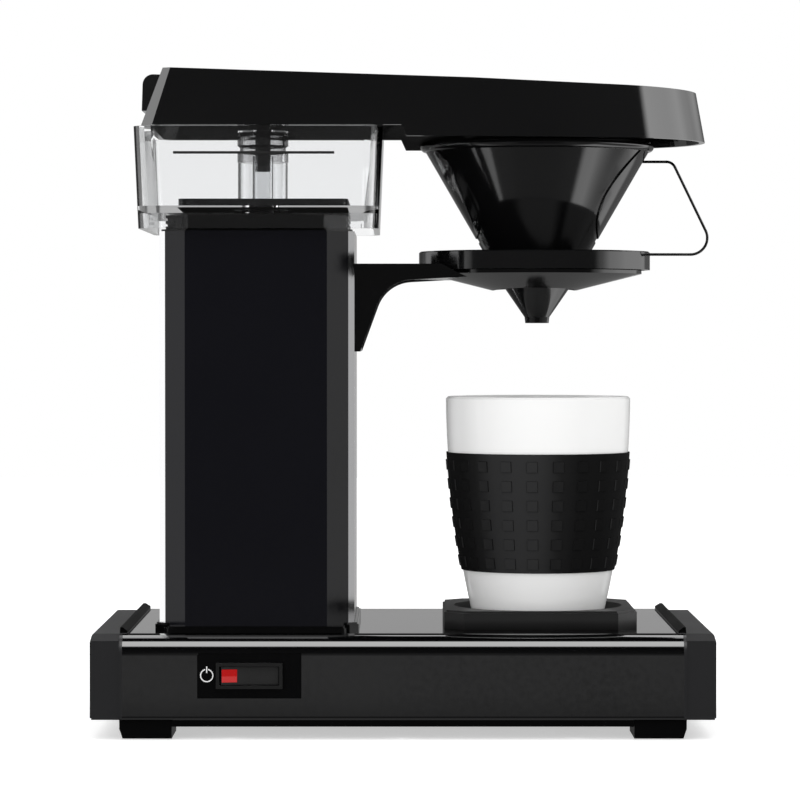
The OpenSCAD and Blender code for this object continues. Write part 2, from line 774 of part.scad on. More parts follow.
module at_feed(z) { translate([tank_x, mid_y + feed_y, z]) children(); }

module boiler_tube() {
    len = boiler_top - boiler_low;
    color([0.72, 0.45, 0.3]) at_riser(boiler_low) difference() {
        union() {
            cylinder(r = boiler_r, h = len);
            translate([0, -web_t / 2, web_end]) cube([web_x, web_t, len - 2 * web_end]);
            translate([-sensor_pad[0] / 2, -sensor_pad[1], (len - sensor_pad[2]) / 2]) cube(sensor_pad);
        }
        translate([0, 0, -cut]) cylinder(r = boiler_r - riser_wall, h = len + 2 * cut);
        translate([web_x, 0, 0]) cylinder(r = element_r + run, h = len);
    }
}

// sheathed rod in the groove beside the water tube, with a terminal pin at each end
module heating_element() {
    end = 6;
    pin = 10;
    sheath = boiler_top - boiler_low - 2 * end;
    color([0.7, 0.7, 0.7]) at_riser(boiler_low) translate([web_x, 0, end]) {
        cylinder(r = element_r, h = sheath);
        translate([0, 0, -pin]) cylinder(r = 1.2, h = sheath + 2 * pin);
    }
}

// wall plate with two arms that hold the water tube
module boiler_bracket() {
    plate = 2;
    half = 8;
    past = 6;                            // how far the plate runs past its arms
    wall_x = col_x - col_w / 2 + shell_in;
    arm_z = [boiler_low + web_end - half, boiler_top - web_end + past];
    color([0.6, 0.6, 0.6]) difference() {
        union() {
            translate([wall_x, mid_y - half, arm_z[0] - past])
                cube([plate, 2 * half, arm_z[1] - arm_z[0] + 2 * past]);
            for (z = arm_z) {
                translate([wall_x, mid_y - half / 2, z]) cube([tank_x - wall_x, half, plate]);
                at_riser(z) cylinder(r = boiler_r + 2, h = plate);
            }
        }
        at_riser(boiler_low) cylinder(r = boiler_r + run, h = boiler_top - boiler_low);
    }
}

// disc thermostat on the upper half of the sensor pad, with two blades
module thermostat() {
    h = 6;
    blade = [0.8, 4.8, 6];
    color([0.85, 0.85, 0.8]) at_riser((boiler_low + boiler_top) / 2 + sensor_pad[2] / 4)
        translate([0, -sensor_pad[1], 0]) rotate([90, 0, 0]) {
            cylinder(r = 8, h = h);
            for (s = [-1, 1]) translate([s * 4 - blade[0] / 2, -blade[1] / 2, h]) cube(blade);
        }
}

// fuse upright on the lower half of the sensor pad, with a lead at each end
module thermal_fuse() {
    r = 2.2;
    len = 16;
    lead = 5;
    color([0.9, 0.9, 0.9]) at_riser((boiler_low + boiler_top - sensor_pad[2]) / 2 + lead)
        translate([0, -sensor_pad[1] - r - run, 0]) {
            cylinder(r = r, h = len);
            translate([0, 0, -lead]) cylinder(r = 0.5, h = len + 2 * lead);
        }
}

// from the check valve down, round a half turn and up to the foot of the boiler
module feed_hose() {
    in_r = boiler_r + run;
    out_r = in_r + hose_wall;
    color([0.8, 0.8, 0.78]) {
        at_feed(bend_z) ring(out_r, in_r, valve_low - bend_z);
        at_riser(bend_z) ring(out_r, in_r, boiler_low + barb_len - bend_z);
        translate([tank_x, mid_y + feed_y / 2, bend_z]) rotate([0, 90, 0]) rotate([0, 0, -90])
            rotate_extrude(angle = 180) translate([feed_y / 2, 0]) difference() {
                circle(out_r);
                circle(in_r);
            }
    }
}

module riser_hose() {
    in_r = boiler_r + run;
    low = boiler_top - barb_len;
    color([0.8, 0.8, 0.78]) at_riser(low) ring(in_r + hose_wall, in_r, riser_low + barb_len - low);
}

// strainer flange in the tank, shank through its floor, valve body and hose barb below
module check_valve() {
    bore = 3;
    flange = 2;
    low = valve_low - barb_len;
    color([0.15, 0.15, 0.15]) difference() {
        union() {
            at_feed(floor_top) cylinder(r = port_r + 2, h = flange);
            at_feed(valve_top - cut) cylinder(r = port_r, h = floor_top - valve_top + cut);
            at_feed(valve_low) cylinder(r = port_r + 3, h = valve_len);
            at_feed(low) cylinder(r = boiler_r, h = barb_len);
        }
        at_feed(low - cut) cylinder(r = bore, h = floor_top + flange - low + 2 * cut);
    }
}

// ---- tank ----

module tank_seal() {
    color([0.7, 0.7, 0.68]) at_riser(deck_top) ring(shaft_r + 5, shaft_r + fit, seal_t);
}

module tank_lock_nut() {
    color([0.1, 0.1, 0.1]) at_riser(valve_top - nut_h) difference() {
        cylinder(r = shaft_r + 5, h = nut_h, $fn = 6);
        translate([0, 0, -cut]) cylinder(r = shaft_r + run, h = nut_h + 2 * cut);
    }
}

// tank outline at height z, inset by a wall
module tank_outline(z, inset) {
    lean = tank_lean * (tank_top - z) / tank_h + inset;
    translate([tank_x, mid_y, z]) linear_extrude(skin)
        rounded_rect(tank_w - 2 * lean, tank_d - 2 * lean, tank_r - inset, $fn = hull_fn);
}

module water_tank() {
    color([0.85, 0.9, 0.95, 0.35]) difference() {
        hull() {
            tank_outline(tank_z, 0);
            tank_outline(tank_top - skin, 0);
        }
        hull() {
            tank_outline(floor_top, tank_wall);
            tank_outline(tank_top + cut, tank_wall);
        }
        hull() {
            tank_outline(tank_z - cut, tank_wall);
            tank_outline(floor_z - skin, tank_wall);
        }
        at_riser(tank_z) cylinder(r = shaft_r + fit, h = tank_h);
        at_feed(tank_z) cylinder(r = port_r + fit, h = tank_h);
    }
}

// black plate on the tank's floor, cut back round the fitting in its middle
module tank_floor_plate() {
    w = 79.7;
    d = 84;
    shift = 1.6;                         // towards the mug from the riser
    bevel = 3;
    hole_r = fitting_r + 2 * fit;
    color([0.04, 0.04, 0.04]) difference() {
        translate([shift, 0, 0]) at_riser(floor_top) linear_extrude(fitting_h) rounded_rect(w, d, 4);
        at_riser(floor_top) cylinder(r1 = hole_r, r2 = hole_r + bevel, h = fitting_h);
        at_riser(floor_top - cut) cylinder(r = hole_r, h = fitting_h);
        at_riser(fitting_top - skin) cylinder(r = hole_r + bevel, h = cut);
        at_feed(floor_top - cut) cylinder(r = port_r + 2.5, h = fitting_h + 2 * cut);
    }
}

// round fitting that clamps the tank and holds the riser tube
module tank_fitting() {
    boss = 0.8;
    color([0.04, 0.04, 0.04]) difference() {
        union() {
            at_riser(shank_low) cylinder(r = shaft_r, h = floor_top - shank_low + cut);
            at_riser(floor_top) cylinder(r = fitting_r, h = fitting_h);
            at_riser(fitting_top - cut) cylinder(r = guard_d / 2 - guard_wall - run, h = boss + cut);
        }
        at_riser(shank_low - cut) cylinder(r = riser_d / 2 + run, h = fitting_top + boss - shank_low + 2 * cut);
    }
}

module riser_tube() {
    color([0.85, 0.9, 0.95, 0.35]) at_riser(riser_low)
        ring(riser_d / 2, riser_d / 2 - riser_wall, socket_z + 3 - riser_low);
}

module riser_guard() {
    color([0.85, 0.9, 0.95, 0.35]) at_riser(fitting_top)
        ring(guard_d / 2, guard_d / 2 - guard_wall, socket_z - seat - fitting_top);
}

// ---- outlet arm ----

// plan of the cover: chamfered left end, straight sides and a round right end
module cover_plan(left, half, chamfer, r) {
    polygon([[left, chamfer - half], [left + chamfer, -half], [shoulder_x, -half],
        [shoulder_x, half], [left + chamfer, half], [left, half - chamfer]]);
    translate([nose_x - nose_r, 0]) circle(r, $fn = 96);
}

// places its children on the sloping top, with X measured from its left edge
module on_top() { translate([edge_x, mid_y, cover_top]) rotate([0, cover_slope, 0]) children(); }

// solid form of the cover, inset by a wall and run on below by a distance
module cover_form(inset, below) {
    tall = top_at(nose_x) - skirt_z;
    hull() {
        translate([0, mid_y, skirt_z - below]) linear_extrude(skin)
            cover_plan(cover_left - cover_lean * skirt_drop + inset,
                cover_d / 2 - inset, cover_chamfer, nose_r - inset);
        on_top() translate([-edge_x, 0, -inset]) linear_extrude(skin)
            cover_plan(edge_x + inset * (1 - cover_lean), cover_d / 2 - side_lean * cover_h - inset,
                cover_chamfer * 0.65, nose_r - nose_lean * tall - inset);
    }
}

module arm_cover() {
    boss = [2 * hinge_half, lid_w / 2 + ledge - barrel / 2 - seat, 2 * hinge_r + 1];
    color([0.1, 0.1, 0.105]) difference() {
        union() {
            difference() {
                cover_form(0, 0);
                cover_form(cover_wall, cut);
            }
            on_top() translate([lid_left - ledge, -lid_w / 2 - ledge, -lid_pocket - 2])
                cube([lid_len + hinge_r + 2 * ledge, lid_w + 2 * ledge, lid_pocket + 2 - cut]);
            for (s = [-1, 1])
                on_top() translate([hinge_x - boss[0] / 2, s * (barrel / 2 + seat + boss[1] / 2) - boss[1] / 2,
                        -boss[2]])
                    cube([boss[0], boss[1], boss[2] - cut]);
            for (x = hangers) translate([x - hanger_wall, mid_y - 8, tube_z - tube_r - hanger_wall])
                cube([2 * hanger_wall, 16, top_at(x) - tube_z + tube_r + hanger_wall - cut]);
        }
        // lower edge over the tank, up to a short slant
        along_y(2 * base_d) polygon([[-base_w, skirt_z - cut], [skirt_x, skirt_z - cut],
            [skirt_x, skirt_z], [skirt_x - 2.4, cover_z], [-base_w, cover_z]]);
        // recess for the lid, the filling opening below it and the notch for its tab
        on_top() translate([lid_left - seat, -lid_w / 2 - seat, -lid_pocket])
            cube([lid_len - hinge_half + seat, lid_w + 2 * seat, lid_pocket + cut]);
        on_top() translate([lid_left + ledge, -lid_w / 2 + ledge, -opening_deep])
            cube([lid_len - 2 * ledge - hinge_r, lid_w - 2 * ledge, opening_deep + cut]);
        on_top() translate([-tab_out, -tab_w / 2 - seat, -lid_pocket])
            cube([lid_left + tab_out + cut, tab_w + 2 * seat, lid_pocket + cut]);
        // gutter round the hinge barrel
        on_top() translate([hinge_x - hinge_half - cut, -barrel / 2 - seat, -opening_deep])
            cube([hinge_half + cut + hinge_r + hinge_gap, barrel + 2 * seat, opening_deep + cut]);
        on_top() translate([hinge_x, lid_w / 2 + ledge - 1, -hinge_r]) rotate([90, 0, 0])
            cylinder(r = pin_r + run, h = lid_w + 2 * ledge - 2);
        for (x = hangers) translate([x - hanger_wall - cut, mid_y, tube_z]) rotate([0, 90, 0])
            cylinder(r = tube_r + fit, h = 2 * (hanger_wall + cut));
    }
}

// lid over the tank: plate, hinge barrel and a finger tab that hangs over the cover's end
module tank_lid() {
    gap = 0.5;                           // between the tab and the cover's sloping end
    tab_r = 5;
    tab_steps = 8;
    // from the hinge axis to the plate beside the barrel: its edge swings clear of the bosses
    plate_end = norm([hinge_r, hinge_half + 1.5 * seat]);
    color([0.09, 0.09, 0.095]) on_top() difference() {
        union() {
            translate([lid_left, -lid_w / 2, -lid_t]) cube([lid_len - plate_end, lid_w, lid_t]);
            translate([hinge_x - plate_end - cut, -barrel / 2, -lid_t]) cube([plate_end + cut, barrel, lid_t]);
            translate([hinge_x, barrel / 2, -hinge_r]) rotate([90, 0, 0]) cylinder(r = hinge_r, h = barrel);
            along_y(tab_w) polygon(concat([[lid_left + cut, 0]],
                corner([0, 0], [-tab_out, 0], [-tab_out, -tab_drop], tab_r, tab_steps),
                [[-tab_out, -tab_drop], [-gap - cover_lean * tab_drop, -tab_drop],
                [-gap - cover_lean * lid_t, -lid_t], [lid_left + cut, -lid_t]]));
        }
        translate([hinge_x, lid_w / 2, -hinge_r]) rotate([90, 0, 0]) cylinder(r = pin_r + run, h = lid_w);
    }
}

module lid_pin() {
    len = lid_w + 2 * ledge - 4;
    color("silver") on_top() translate([hinge_x, len / 2, -hinge_r]) rotate([90, 0, 0])
        cylinder(r = pin_r, h = len);
}

// bent tube from the riser to above the basket, closed at its end
module outlet_tube() {
    low = socket_z - 4.3;
    end_wall = 2;
    color([0.03, 0.03, 0.03]) difference() {
        union() {
            at_riser(low) cylinder(r = tube_r, h = tube_z - tube_bend - low);
            tube_elbow(tube_r);
            translate([tank_x + tube_bend, mid_y, tube_z]) rotate([0, 90, 0])
                cylinder(r = tube_r, h = tube_end - tank_x - tube_bend);
        }
        at_riser(low - cut) cylinder(r = tube_r - tube_wall, h = tube_z - tube_bend - low + cut);
        tube_elbow(tube_r - tube_wall);
        translate([tank_x + tube_bend, mid_y, tube_z]) rotate([0, 90, 0])
            cylinder(r = tube_r - tube_wall, h = tube_end - tank_x - tube_bend - end_wall);
        translate([basket_x, mid_y, tube_z - tube_r - cut]) cylinder(r = outlet_r, h = tube_r + cut);
    }
}

module tube_elbow(r) {
    translate([tank_x + tube_bend, mid_y, tube_z - tube_bend]) rotate([90, 0, 0]) rotate([0, 0, 90])
        rotate_extrude(angle = 90) translate([tube_bend, 0]) circle(r);
}

// grooved sleeve on the outlet tube that hangs over the guard tube
module riser_socket() {
    r = guard_d / 2 + seat;
    in_r = r - 2.6;
    tall = 15;
    deck = 2.5;
    groove = 1.2;
    low = 4.2;                           // where the groove starts, and where it ends
    high = 8;
    color([0.35, 0.35, 0.36]) at_riser(socket_z) rotate_extrude() difference() {
        polygon([[0, 0], [r, 0], [r, low], [r - groove, low + 1], [r - groove, high - 1], [r, high],
            [r, tall], [0, tall]]);
        translate([-cut, -cut]) square([in_r + cut, tall - deck + cut]);
        translate([-cut, 0]) square([tube_r + run + cut, tall + cut]);
    }
}

// perforated rose clipped on the outlet tube
module spray_head() {
    r = 16;
    h = 5.5;
    wall = 2;                            // floor, rim and clip of the rose
    hole_r = 0.9;
    holes = 8;
    low = tube_z - tube_r - h;
    color([0.06, 0.06, 0.06]) translate([basket_x, mid_y, low]) difference() {
        union() {
            cylinder(r = r, h = h);
            translate([-r / 2, -tube_r - wall, h - cut]) cube([r, 2 * (tube_r + wall), tube_r + wall + cut]);
        }
        translate([-r - cut, 0, h + tube_r]) rotate([0, 90, 0]) cylinder(r = tube_r + run, h = 2 * r + 2 * cut);
        translate([0, 0, wall]) cylinder(r = r - wall, h = h - 2 * wall);
        for (i = [0:holes - 1]) rotate([0, 0, i * 360 / holes]) translate([r - 3 * wall, 0, -cut])
            cylinder(r = hole_r, h = wall + 2 * cut);
        translate([0, 0, wall]) cylinder(r = outlet_r, h = h);
    }
}

// ---- basket holder and basket ----

module at_plate(z) { translate([plate_x, mid_y, z]) children(); }

module at_basket(z) { translate([basket_x, mid_y, z]) children(); }

// every bracket screw, with Z pointing into the column
module bracket_screw_places() {
    for (s = [-1, 1], z = bracket_screw_z)
        translate([col_side + leg_t + screw_head_h, mid_y + s * bracket_screw_y, z]) rotate([0, -90, 0])
            children();
}

// side of the bracket: leg on the column, curved gusset and an arm with a slanted end
module bracket_side() {
    reach = col_side + 52.8;
    knee = [col_side + 14.8, arm_low - 1.6];
    foot = [col_side + leg_t, leg_low];
    polygon(concat([[col_side, bracket_top], [col_side, leg_low], foot],
        corner(foot, knee, [reach, arm_low + 0.5], 18, 10),
        [[reach, arm_low + 0.5], [reach - 4.7, arm_low + 2.7], [reach - 11.8, bracket_top]]));
}

module basket_bracket() {
    ledge_in = 6;                        // width of the dish's rim
    above = 2 * plate_t;
    hole_extra = 10;                     // how much longer the hole is from front to back
    color([0.09, 0.09, 0.095]) difference() {
        union() {
            for (s = [-1, 1]) translate([0, mid_y + s * (bracket_w - bracket_wall) / 2, 0])
                along_y(bracket_wall) bracket_side();
            translate([col_side, mid_y - bracket_w / 2, leg_low]) cube([leg_t, bracket_w, leg_len]);
            translate([col_side, mid_y - bracket_w / 2, arm_low])
                cube([plate_x - dish_r * 0.72 - col_side, bracket_w, floor_t]);
            at_plate(dish_low) cylinder(r1 = dish_hole_r, r2 = dish_r, h = dish_h);
            at_plate(dish_low + dish_h) cylinder(r = dish_r, h = dish_top - dish_low - dish_h);
        }
        at_plate(dish_low + dish_wall) cylinder(r1 = dish_hole_r, r2 = dish_r, h = dish_h);
        at_plate(dish_low + dish_wall + dish_h - cut) cylinder(r = dish_r - ledge_in, h = above);
        at_plate(dish_low - cut) slot(2 * (dish_hole_r - 1), 2 * (dish_hole_r - 1) + hole_extra, above);
        at_plate(dish_top) cylinder(r = plate_r + 2 * seat, h = above);
        bracket_screw_places() cylinder(r = screw_r + fit, h = screw_hole);
    }
}

module bracket_screws() { color("silver") bracket_screw_places() screw(screw_len); }

// brew basket: fluted cone with a rim bead and a round panel on each side
module brew_basket() {
    wall = basket_wall + 0.4;            // measured level, across the slanting wall
    floor_h = 2;
    flutes = 12;
    flute = [1.4, 1.2];                  // how far each flute stands in from the wall, and its width
    flute_z = [8, 40];
    color([0.08, 0.08, 0.085]) difference() {
        union() {
            at_basket(plate_top) rotate_extrude() {
                polygon([[0, 0], [cone_r, 0], [cone_top_r, cone_h], [cone_top_r, cone_h + bead_h],
                    [cone_top_r - wall, cone_h + bead_h], [cone_top_r - wall, cone_h],
                    [cone_r - wall, floor_h], [0, floor_h]]);
                translate([rim_r - bead_r, cone_h + bead_r]) circle(bead_r);
            }
            for (i = [0:flutes - 1]) at_basket(plate_top) rotate([0, 0, (i + 0.5) * 360 / flutes])
                along_y(flute[1]) polygon([
                    for (z = flute_z) [cone_at(z) - wall - flute[0], z],
                    for (z = [flute_z[1], flute_z[0]]) [cone_at(z) - wall / 2, z]]);
        }
        at_basket(plate_top - cut) cylinder(r = drain_r, h = floor_h + 2 * cut);
        for (side = [0, 180]) at_basket(plate_top) rotate([0, 0, side]) panel_groove();
        translate([basket_x + cone_at(handle_high - plate_top) - 1, mid_y, handle_high]) rotate([0, 90, 0])
            cylinder(r = wire_r + run, h = 5 * wall);
    }
}

// layer to cut from the cone's outside along the edge of a side panel
module panel_groove() {
    intersection() {
        rotate_extrude() polygon([[cone_r - groove_deep, 0], [cone_r + cut, 0],
            [cone_top_r + cut, cone_h], [cone_top_r - groove_deep, cone_h]]);
        translate([0, 0, panel_at]) rotate([0, 90, 0])
            ring(panel_r + groove_w / 2, panel_r - groove_w / 2, rim_r);
    }
}

module basket_plate() {
    top = 2.5;
    wall = 2.2;
    edge = 0.6;
    seat_r = dish_r - 2;
    color([0.08, 0.08, 0.085]) difference() {
        at_plate(plate_z) rotate_extrude() {
            polygon([[0, plate_t - top], [plate_r - wall, plate_t - top], [plate_r - wall, 0], [plate_r, 0],
                [plate_r, plate_t - edge], [plate_r - edge, plate_t], [0, plate_t]]);
            translate([seat_r - top, 0]) square([top, plate_t - top + skin]);
        }
        at_basket(plate_z - cut) cylinder(r = drain_r, h = plate_t + 2 * cut);
        translate([plate_x + plate_r - wall - cut, mid_y, handle_low]) rotate([0, 90, 0])
            cylinder(r = wire_r + run, h = wall + 2 * cut);
    }
}

// funnel under the plate, from its flange down to the tip
module basket_nozzle() {
    top = nozzle_len + plate_t - 2.5;    // up to the underside of the plate
    neck = 2.9;
    draft = 0.35;
    wall = 1.7;
    out_r = tip_r + draft + 0.69 * (top - neck);
    color([0.09, 0.09, 0.095]) at_basket(plate_z - nozzle_len) rotate_extrude() difference() {
        polygon([[0, 0], [tip_r, 0], [tip_r + draft, neck], [out_r, top], [0, top]]);
        polygon([[-cut, -cut], [tip_r - wall, -cut], [tip_r - wall, neck], [out_r - wall - 1, top - 2],
            [out_r - wall - 1, top + cut], [-cut, top + cut]]);
    }
}

// round wire along a path in the XZ plane, with a bend of radius bends[i] at each inner point;
// a weld bead covers each joint between a straight piece and a bend
module wire(path, bends, r) {
    n = len(path) - 1;
    function unit(v) = v / norm(v);
    function back(i) = bends[i] * tan(abs(turn(i)) / 2);
    function turn(i) = let (u = unit(path[i] - path[i - 1]), v = unit(path[i + 1] - path[i]))
        atan2(u[0] * v[1] - u[1] * v[0], u * v);
    for (i = [0:n - 1]) {
        d = unit(path[i + 1] - path[i]);
        p = path[i] + d * (i == 0 ? 0 : back(i));
        q = path[i + 1] - d * (i == n - 1 ? 0 : back(i + 1));
        translate([p[0], 0, p[1]]) rotate([0, 90 - atan2(d[1], d[0]), 0]) {
            cylinder(r = r, h = norm(q - p));
            if (i > 0) sphere(r + weld);
            if (i < n - 1) translate([0, 0, norm(q - p)]) sphere(r + weld);
        }
    }
    for (i = [1:n - 1]) {
        s = sign(turn(i));
        u = unit(path[i] - path[i - 1]);
        start = path[i] - u * back(i);
        centre = start + s * bends[i] * [-u[1], u[0]];
        a = atan2(u[1], u[0]) - s * 90;
        translate([centre[0], 0, centre[1]]) rotate([90, 0, 0])
            rotate([0, 0, s > 0 ? a : a + turn(i)])
                rotate_extrude(angle = abs(turn(i))) translate([bends[i], 0]) circle(r);
    }
}

module basket_handle() {
    cone_x = basket_x + cone_at(handle_high - plate_top);
    plate_side = plate_x + plate_r;
    color([0.05, 0.05, 0.05]) translate([0, mid_y, 0])
        wire([[cone_x - wire_r, handle_high], [cone_x + 14.1, handle_high],
            [cone_x + 35.7, handle_low], [plate_side - 1.5, handle_low]], [0, 4.5, 8, 0], wire_r);
}

// ---- mug ----

module mug_ring() {
    edge = 1;
    color([0.09, 0.09, 0.09]) translate([mug_x, mid_y, base_top]) {
        difference() {
            union() {
                linear_extrude(ring_h - edge) chamfered_rect(ring_w, ring_d, ring_chamfer);
                translate([0, 0, ring_h - edge]) linear_extrude(edge)
                    chamfered_rect(ring_w - 2 * edge, ring_d - 2 * edge, ring_chamfer - edge / 2);
            }
            translate([0, 0, -cut]) cylinder(d = ring_hole_d, h = ring_h + 2 * cut);
        }
    }
    color([0.09, 0.09, 0.09]) ring_peg_places() translate([0, 0, -peg_len])
        cylinder(r = peg_r, h = peg_len + skin);
}

module mug() {
    steps = 18;
    foot = 1.5;
    floor_h = 5;
    lip = 1;
    outer = [for (i = [0:steps]) let (h = foot + (mug_h - lip - foot) * i / steps) [mug_at(h), h]];
    inner = [for (i = [steps:-1:0])
        let (h = floor_h + (mug_h - lip - floor_h) * i / steps) [mug_at(h) - mug_wall, h]];
    color([0.95, 0.95, 0.93]) translate([mug_x, mid_y, mug_z]) rotate_extrude() polygon(concat(
        [[0, foot], [mug_at(0) - 6, foot], [mug_at(0) - 5, 0], [mug_at(0) - foot, 0]], outer,
        [[mug_r - lip, mug_h], [mug_r - mug_wall + lip, mug_h]], inner, [[0, floor_h]]));
}

module mug_sleeve() {
    steps = 12;
    heights = [for (i = [0:steps]) sleeve_low + sleeve_h * i / steps];
    color([0.07, 0.07, 0.07]) translate([mug_x, mid_y, mug_z]) rotate_extrude() polygon(concat(
        [for (h = heights) [mug_at(h) + sleeve_t, h]],
        [for (i = [steps:-1:0]) [mug_at(heights[i]) + fit, heights[i]]]));
}

base_housing();
left_end_cap();
right_end_cap();
foot_pads();
base_plate();
base_screws();
cord_gland();
terminal_block();
switch_plate();
switch_body();
rocker_switch();
switch_lens();
column_shell();
column_front_panel();
column_collar();
column_foot_plate();
column_screws();
column_top_cap();
boiler_tube();
heating_element();
boiler_bracket();
thermostat();
thermal_fuse();
feed_hose();
riser_hose();
check_valve();
tank_seal();
tank_lock_nut();
water_tank();
tank_floor_plate();
tank_fitting();
riser_tube();
riser_guard();
arm_cover();
outlet_tube();
riser_socket();
spray_head();
tank_lid();
lid_pin();
basket_bracket();
bracket_screws();
brew_basket();
basket_plate();
basket_nozzle();
basket_handle();
mug_ring();
mug();
mug_sleeve();
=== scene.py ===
"""Looks, camera and light for the single-mug drip coffee maker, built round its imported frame."""

import json
import math

import bmesh
import bpy
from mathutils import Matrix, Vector


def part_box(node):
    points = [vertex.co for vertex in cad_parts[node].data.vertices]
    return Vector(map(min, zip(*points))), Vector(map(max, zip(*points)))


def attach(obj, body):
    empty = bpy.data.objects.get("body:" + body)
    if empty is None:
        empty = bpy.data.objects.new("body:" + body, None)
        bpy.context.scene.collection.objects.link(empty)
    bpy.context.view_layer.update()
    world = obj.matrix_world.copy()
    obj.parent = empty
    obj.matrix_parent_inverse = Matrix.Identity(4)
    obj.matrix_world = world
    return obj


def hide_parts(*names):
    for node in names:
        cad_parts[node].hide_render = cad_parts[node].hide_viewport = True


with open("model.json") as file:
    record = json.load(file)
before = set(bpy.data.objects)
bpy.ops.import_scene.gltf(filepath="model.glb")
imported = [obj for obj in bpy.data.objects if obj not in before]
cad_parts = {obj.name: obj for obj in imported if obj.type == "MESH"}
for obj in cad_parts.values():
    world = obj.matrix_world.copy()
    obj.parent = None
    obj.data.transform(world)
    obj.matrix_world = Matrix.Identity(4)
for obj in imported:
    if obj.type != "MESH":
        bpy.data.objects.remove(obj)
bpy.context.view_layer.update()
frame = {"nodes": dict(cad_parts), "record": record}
nodes = frame["nodes"]
bodies = frame["record"]["behaviour"]["bodies"]
BODY_OF = {node: body for body, members in bodies.items() for node in members}
MM = 0.001
MICRON = 1e-6


def link(name, data):
    """Put a mesh, a lamp or a camera into the scene as an object."""
    made = bpy.data.objects.new(name, data)
    bpy.context.scene.collection.objects.link(made)
    return made


# ---- camera: the photograph's long lens, a little above the middle of the object ----
IMAGE = 800  # width and height of the picture in pixels
FOCAL = 3600  # focal length in pixels
HORIZON = 336  # image row of the camera's own height
CAMERA_AT = (-0.0014, -1.7476, 0.187)
SENSOR = 36.0

camera = link("camera", bpy.data.cameras.new("camera"))
camera.data.sensor_width = SENSOR
camera.data.lens = FOCAL / IMAGE * SENSOR
camera.location = CAMERA_AT
tilt_down = math.atan((IMAGE / 2 - HORIZON) / FOCAL)
camera.rotation_euler = (math.pi / 2 - tilt_down, 0, 0)
bpy.context.scene.camera = camera


# ---- node trees ----
def rgba(colour):
    return (*colour, 1.0)


def grey(level):
    return (level, level, level, 1.0)


class Tree:
    """A material's or world's node tree, with short ways to add and join nodes."""

    def __init__(self, owner, start_empty=True):
        if start_empty:
            owner.use_nodes = True
            owner.node_tree.nodes.clear()
        self.tree = owner.node_tree

    def add(self, kind, settings=None, **inputs):
        node = self.tree.nodes.new(kind)
        for name, value in (settings or {}).items():
            setattr(node, name, value)
        for name, value in inputs.items():
            self.feed(node.inputs[name.replace("_", " ")], value)
        return node

    def feed(self, socket, value):
        if isinstance(value, bpy.types.NodeSocket):
            self.tree.links.new(value, socket)
        else:
            socket.default_value = value

    def find(self, kind):
        """The first node of a type."""
        return next(node for node in self.tree.nodes if node.type == kind)

    def where(self):
        """Place in the object's own coordinates, which are the frame's."""
        return self.add("ShaderNodeTexCoord").outputs["Object"]

    def noise(self, where, scale, detail):
        return self.add("ShaderNodeTexNoise", Vector=where, Scale=scale, Detail=detail).outputs["Fac"]

    def math(self, operation, first, second=0.0):
        node = self.add("ShaderNodeMath", {"operation": operation})
        self.feed(node.inputs[0], first)
        self.feed(node.inputs[1], second)
        return node.outputs[0]

    def spread(self, value, start=0.0, end=1.0, low=0.0, high=1.0):
        """Spread a value between start and end over low to high, and hold it there beyond them."""
        node = self.add(
            "ShaderNodeMapRange", Value=value, From_Min=start, From_Max=end, To_Min=low, To_Max=high
        )
        return node.outputs["Result"]

    def mix_colours(self, part, first, second, blend="MIX"):
        node = self.add("ShaderNodeMix", {"data_type": "RGBA", "blend_type": blend}, Factor=part)
        self.feed(node.inputs[6], first)
        self.feed(node.inputs[7], second)
        return node.outputs[2]

    def mix_values(self, part, first, second):
        node = self.add("ShaderNodeMix", {"data_type": "FLOAT"}, Factor=part)
        self.feed(node.inputs[2], first)
        self.feed(node.inputs[3], second)
        return node.outputs[0]

    def ramp(self, value, table, unit=1.0, peak=1.0):
        """Level, as a share of peak, from a table of (place, level) joined by straight lines.

        unit is how much of the value one step of the table's places stands for."""
        first, last = table[0][0], table[-1][0]
        node = self.add("ShaderNodeValToRGB", Fac=self.spread(value, first * unit, last * unit))
        stops = node.color_ramp.elements
        while len(stops) < len(table):
            stops.new(0.5)
        for stop, (place, level) in zip(stops, table):
            stop.position = (place - first) / (last - first)
            stop.color = grey(level / peak)
        return node.outputs["Color"]

    def finish(self, shader):
        self.add("ShaderNodeOutputMaterial", Surface=shader)


# ---- materials ----
BROAD_SCALE = 14.0  # scale per metre of the broad noise
NOISE_RANGE = (0.1, 0.45)  # values of the two noises' product that the roughness is spread over
SMOOTHEST = 0.02


def surface(
    name,
    colour,
    rough,
    metallic=0.0,
    grain=900.0,
    grain_depth=0.0,
    rough_spread=0.04,
    tint=0.12,
    stretch=(1, 1, 1),
    **extra,
):
    """Principled material whose colour, roughness and bump vary with a fine noise and a broad one.

    grain is the fine noise's scale per metre, and grain_depth its height in metres."""
    material = bpy.data.materials.new(name)
    t = Tree(material)
    where = t.where()
    placed = t.add("ShaderNodeMapping", Vector=where, Scale=stretch).outputs["Vector"]
    fine = t.noise(placed, grain, detail=4.0)
    broad = t.noise(where, BROAD_SCALE, detail=3.0)
    unevenness = t.math("MULTIPLY", fine, broad)
    shader = t.add(
        "ShaderNodeBsdfPrincipled",
        Base_Color=t.mix_colours(
            broad,
            rgba([c * (1 - tint) for c in colour]),
            rgba([min(1, c * (1 + tint)) for c in colour]),
        ),
        Roughness=t.spread(
            unevenness, *NOISE_RANGE, max(rough - rough_spread, SMOOTHEST), rough + rough_spread
        ),
        Metallic=metallic,
        **extra,
    )
    if grain_depth:
        bump = t.add("ShaderNodeBump", Height=fine, Strength=1.0, Distance=grain_depth)
        t.feed(shader.inputs["Normal"], bump.outputs["Normal"])
    t.finish(shader.outputs["BSDF"])
    return material


